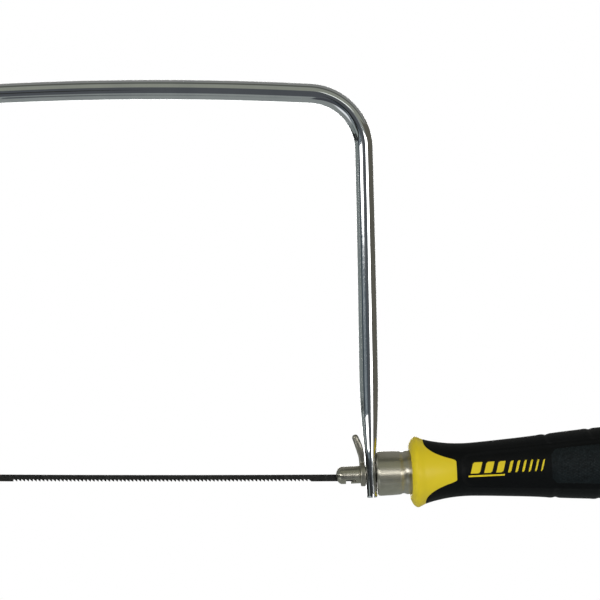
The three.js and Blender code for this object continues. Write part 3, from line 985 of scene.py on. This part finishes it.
def ferrule():
    """A drawn cup, crimped near its rear edge, which follows the bolster's saddle."""
    start, end, bore = FERRULE["start"], FERRULE["end"], FERRULE["bore"]
    front, rear = FERRULE["front_radius"], FERRULE["rear_radius"]
    inner = rear - FERRULE["wall"]
    face = start + FERRULE["face"]
    floor, corner = rear - CRIMP["depth"], CRIMP["corner"]
    profile = filleted([
        (start, bore), (start, front, 1.6), (19, front - 0.08),
        (CRIMP["start"], rear + 0.06, corner), (CRIMP["floor_start"], floor, corner),
        (CRIMP["floor_end"], floor, corner), (CRIMP["end"], rear + 0.1, corner),
        (end, rear + 0.12, 0.3), (end, inner), (face, inner, 0.4), (face, bore), (start, bore),
    ], 8)
    obj = lathe("ferrule_cup", profile, 144)
    for vert in obj.data.vertices:
        radius = math.hypot(vert.co.y, vert.co.z)
        side = (vert.co.y / radius) ** 2
        vert.co.x += FERRULE_SADDLE * side * smoothstep(20, end, vert.co.x)
    settled(obj, REAR, NICKEL_SATIN, "handle", "ferrule", sharp=60)


# ---- stage

class Sky(Nodes):
    """Studio surroundings, painted by direction, in degrees from the camera's side.

    Turn is left and right, lift is up and over the top, and rise is the height over level. Rise goes by
    the sine, so its degrees are true only near level.
    """

    def __init__(self, colour):
        """Starts with one colour in every direction."""
        world = bpy.data.worlds.new("studio")
        bpy.context.scene.world = world
        super().__init__(world)
        self.tree.nodes.clear()
        place = self.node("ShaderNodeTexCoord")
        split = self.node("ShaderNodeSeparateXYZ")
        self.link(place.outputs["Generated"], split.inputs[0])
        x, y, z = split.outputs
        towards = self.maths("MULTIPLY", y, -1)
        degrees = 180 / math.pi
        self.turn = self.maths("MULTIPLY", self.maths("ARCTAN2", x, towards), degrees)
        self.lift = self.maths("MULTIPLY", self.maths("ARCTAN2", z, towards), degrees)
        self.rise = self.maths("MULTIPLY", z, degrees)
        self.direction = place.outputs["Generated"]
        base = self.node("ShaderNodeRGB")
        base.outputs[0].default_value = (*colour, 1)
        self.colour = base.outputs[0]

    def maths(self, operation, *values):
        """One maths operation on two sockets or numbers."""
        node = self.node("ShaderNodeMath", operation=operation)
        for socket, given in zip(node.inputs, values):
            if isinstance(given, (int, float)):
                socket.default_value = given
            else:
                self.link(given, socket)
        return node.outputs[0]

    def band(self, value, low, high, soft):
        """1 between two angles and 0 outside them, with soft edges."""
        edges = []
        for start, stop in ((low - soft, low + soft), (high + soft, high - soft)):
            span = {"From Min": start, "From Max": stop}
            node = self.node("ShaderNodeMapRange", span, interpolation_type="SMOOTHSTEP")
            self.link(value, node.inputs["Value"])
            edges.append(node.outputs["Result"])
        return self.maths("MULTIPLY", *edges)

    def patch(self, turn, other, soft):
        """1 between two turns and within another band, and 0 outside."""
        return self.maths("MULTIPLY", self.band(self.turn, *turn, soft), other)

    def clutter(self):
        """Blotches between 0 and 1."""
        noise = self.node("ShaderNodeTexNoise", {"Scale": 14, "Detail": 4})
        self.link(self.direction, noise.inputs["Vector"])
        spread = self.node("ShaderNodeMapRange", {"From Min": 0.4, "From Max": 0.58})
        self.link(noise.outputs["Fac"], spread.inputs["Value"])
        return spread.outputs["Result"]

    def paint(self, mask, colour):
        """Lays a colour over what is there already, as far as the mask goes."""
        node = self.node("ShaderNodeMix", data_type="RGBA")
        self.link(mask, node.inputs[0])
        self.link(self.colour, node.inputs[6])
        node.inputs[7].default_value = (*colour, 1)
        self.colour = node.outputs[2]

    def finish(self, backdrop):
        """Joins the painted sky to the world. The camera itself sees only the plain backdrop."""
        painted = self.node("ShaderNodeBackground")
        plain = self.node("ShaderNodeBackground", {"Color": (*backdrop, 1)})
        path = self.node("ShaderNodeLightPath")
        mix = self.node("ShaderNodeMixShader")
        out = self.node("ShaderNodeOutputWorld")
        more = self.maths("MULTIPLY", path.outputs["Is Diffuse Ray"], MATT_BOOST)
        self.link(self.colour, painted.inputs["Color"])
        self.link(self.maths("ADD", more, 1), painted.inputs["Strength"])
        self.link(path.outputs["Is Camera Ray"], mix.inputs["Fac"])
        self.link(painted.outputs[0], mix.inputs[1])
        self.link(plain.outputs[0], mix.inputs[2])
        self.link(mix.outputs[0], out.inputs["Surface"])


PALE = (1.0, 1.0, 1.0)
MATT_BOOST = 1.3  # how much more light matt surfaces get than shiny ones


def surroundings():
    """A room of plain walls with soft boxes, which the plated pieces mirror."""
    sky = Sky((0.28, 0.305, 0.30))  # the pale bench, below and all round
    sky.paint(sky.band(sky.lift, 94, 200, 4), (0.26, 0.265, 0.255))  # behind and above
    sky.paint(sky.band(sky.lift, 21, 67, 3), (0.295, 0.31, 0.265))  # the ceiling
    sky.paint(sky.band(sky.lift, 69, 92, 4), (0.11, 0.115, 0.10))  # a dark rail across the ceiling

    def panel(turn_from, turn_to, rise_from, rise_to, colour, side_soft=0.7, soft=0.7):
        height = sky.band(sky.rise, rise_from, rise_to, soft)
        sky.paint(sky.patch((turn_from, turn_to), height, side_soft), colour)

    panel(46, 150, -24, 26, (0.125, 0.12, 0.098))  # right-hand wall
    panel(-150, -74, -24, 26, (0.22, 0.25, 0.245))  # left-hand wall
    panel(-74, -11, -24, 26, (0.045, 0.06, 0.075))  # doorway
    panel(-22, -9, 0.4, 20, (0.20, 0.21, 0.21))  # door post
    front = sky.patch((-11, 15), sky.band(sky.lift, -46, 22, 2), 1)
    sky.paint(front, (0.088, 0.095, 0.105))  # by the camera
    panel(-38, -11, -55, -24, (0.065, 0.07, 0.08), 3, 2)  # under it, to the left
    panel(-68, -42, -42, -25, (1.0, 1.05, 1.08), 4, 3)  # a low lamp
    shelf = sky.patch((-56, -22), sky.band(sky.rise, -20, 0.5, 1), 3)
    sky.paint(sky.maths("MULTIPLY", shelf, sky.clutter()), (0.36, 0.41, 0.44))  # light on things to the left
    panel(-150, -5, -14, -5, (0.026, 0.028, 0.027))  # shade below the bench's edge, to the left
    panel(2, 150, -14, -5, (0.026, 0.028, 0.027))  # and to the right
    panel(-68, -46, -24, -8, (0.30, 0.34, 0.33))  # a pale cupboard on the left
    panel(76, 104, -24, -4.6, (0.13, 0.125, 0.10))  # a brown one on the right
    panel(24, 46, -2.9, 11.5, (5.8, 5.8, 5.8), 3)  # right soft box
    panel(6, 28, 22.5, 28, (1.3, 1.35, 1.3), 2)  # strip light over the camera
    panel(28, 54, -20, -6, (1.1, 1.1, 1.1), 4, 3)  # reflector under the right soft box
    panel(-53, -26, 1.4, 16, (5.6, 5.6, 5.6), 4)  # left soft box
    panel(171, 200, -7, 9, (6.0, 6.0, 6.0))  # rear soft box, in two halves
    panel(-200, -171, -7, 9, (6.0, 6.0, 6.0))
    sky.finish(PALE)


def pale_floor():
    """A round floor that the camera sees, but that neither shades nor lights the saw."""
    under = (0, 0, -0.0005)
    bpy.ops.mesh.primitive_circle_add(vertices=96, radius=0.9, fill_type="NGON", location=under)
    floor = bpy.context.object
    floor.name = "floor"
    material = bpy.data.materials.new("pale_floor")
    surface = Nodes(material)
    surface.tree.nodes.clear()
    glow = surface.node("ShaderNodeEmission", {"Color": (*PALE, 1)})
    out = surface.node("ShaderNodeOutputMaterial")
    surface.link(glow.outputs[0], out.inputs["Surface"])
    floor.data.materials.append(material)
    for reach in ("visible_diffuse", "visible_glossy", "visible_transmission", "visible_shadow"):
        setattr(floor, reach, False)


def handle_nut():
    """The nut inside the handle keeps its CAD shape and gets a finer material."""
    materials = frame["nodes"]["handle_nut"].data.materials
    materials.clear()
    materials.append(ZINC)


def camera():
    """A level view along +Y, on the rear half of the saw, in metres."""
    distance, view_width = 0.88, 0.2625
    aim = (FRONT_PIN + REAR_PIN) / 2 + Vector((0.060, 0, 0.0766))
    data = bpy.data.cameras.new("camera")
    data.sensor_width = 36
    data.lens = data.sensor_width * distance / view_width
    data.clip_start, data.clip_end = 0.01, 50
    obj = bpy.data.objects.new("camera", data)
    obj.location = (aim.x, -distance, aim.z)
    obj.rotation_euler = (math.pi / 2, 0, 0)
    bpy.context.scene.collection.objects.link(obj)
    bpy.context.scene.camera = obj


camera()
bow()
blade()
blade_pins()
front_end()
rear_end()
stud()
ferrule()
handle_core()
soft_grip()
stippled_pads()
inlay_marks()
handle_nut()
surroundings()
pale_floor()
bpy.context.scene.view_settings.view_transform = "Standard"
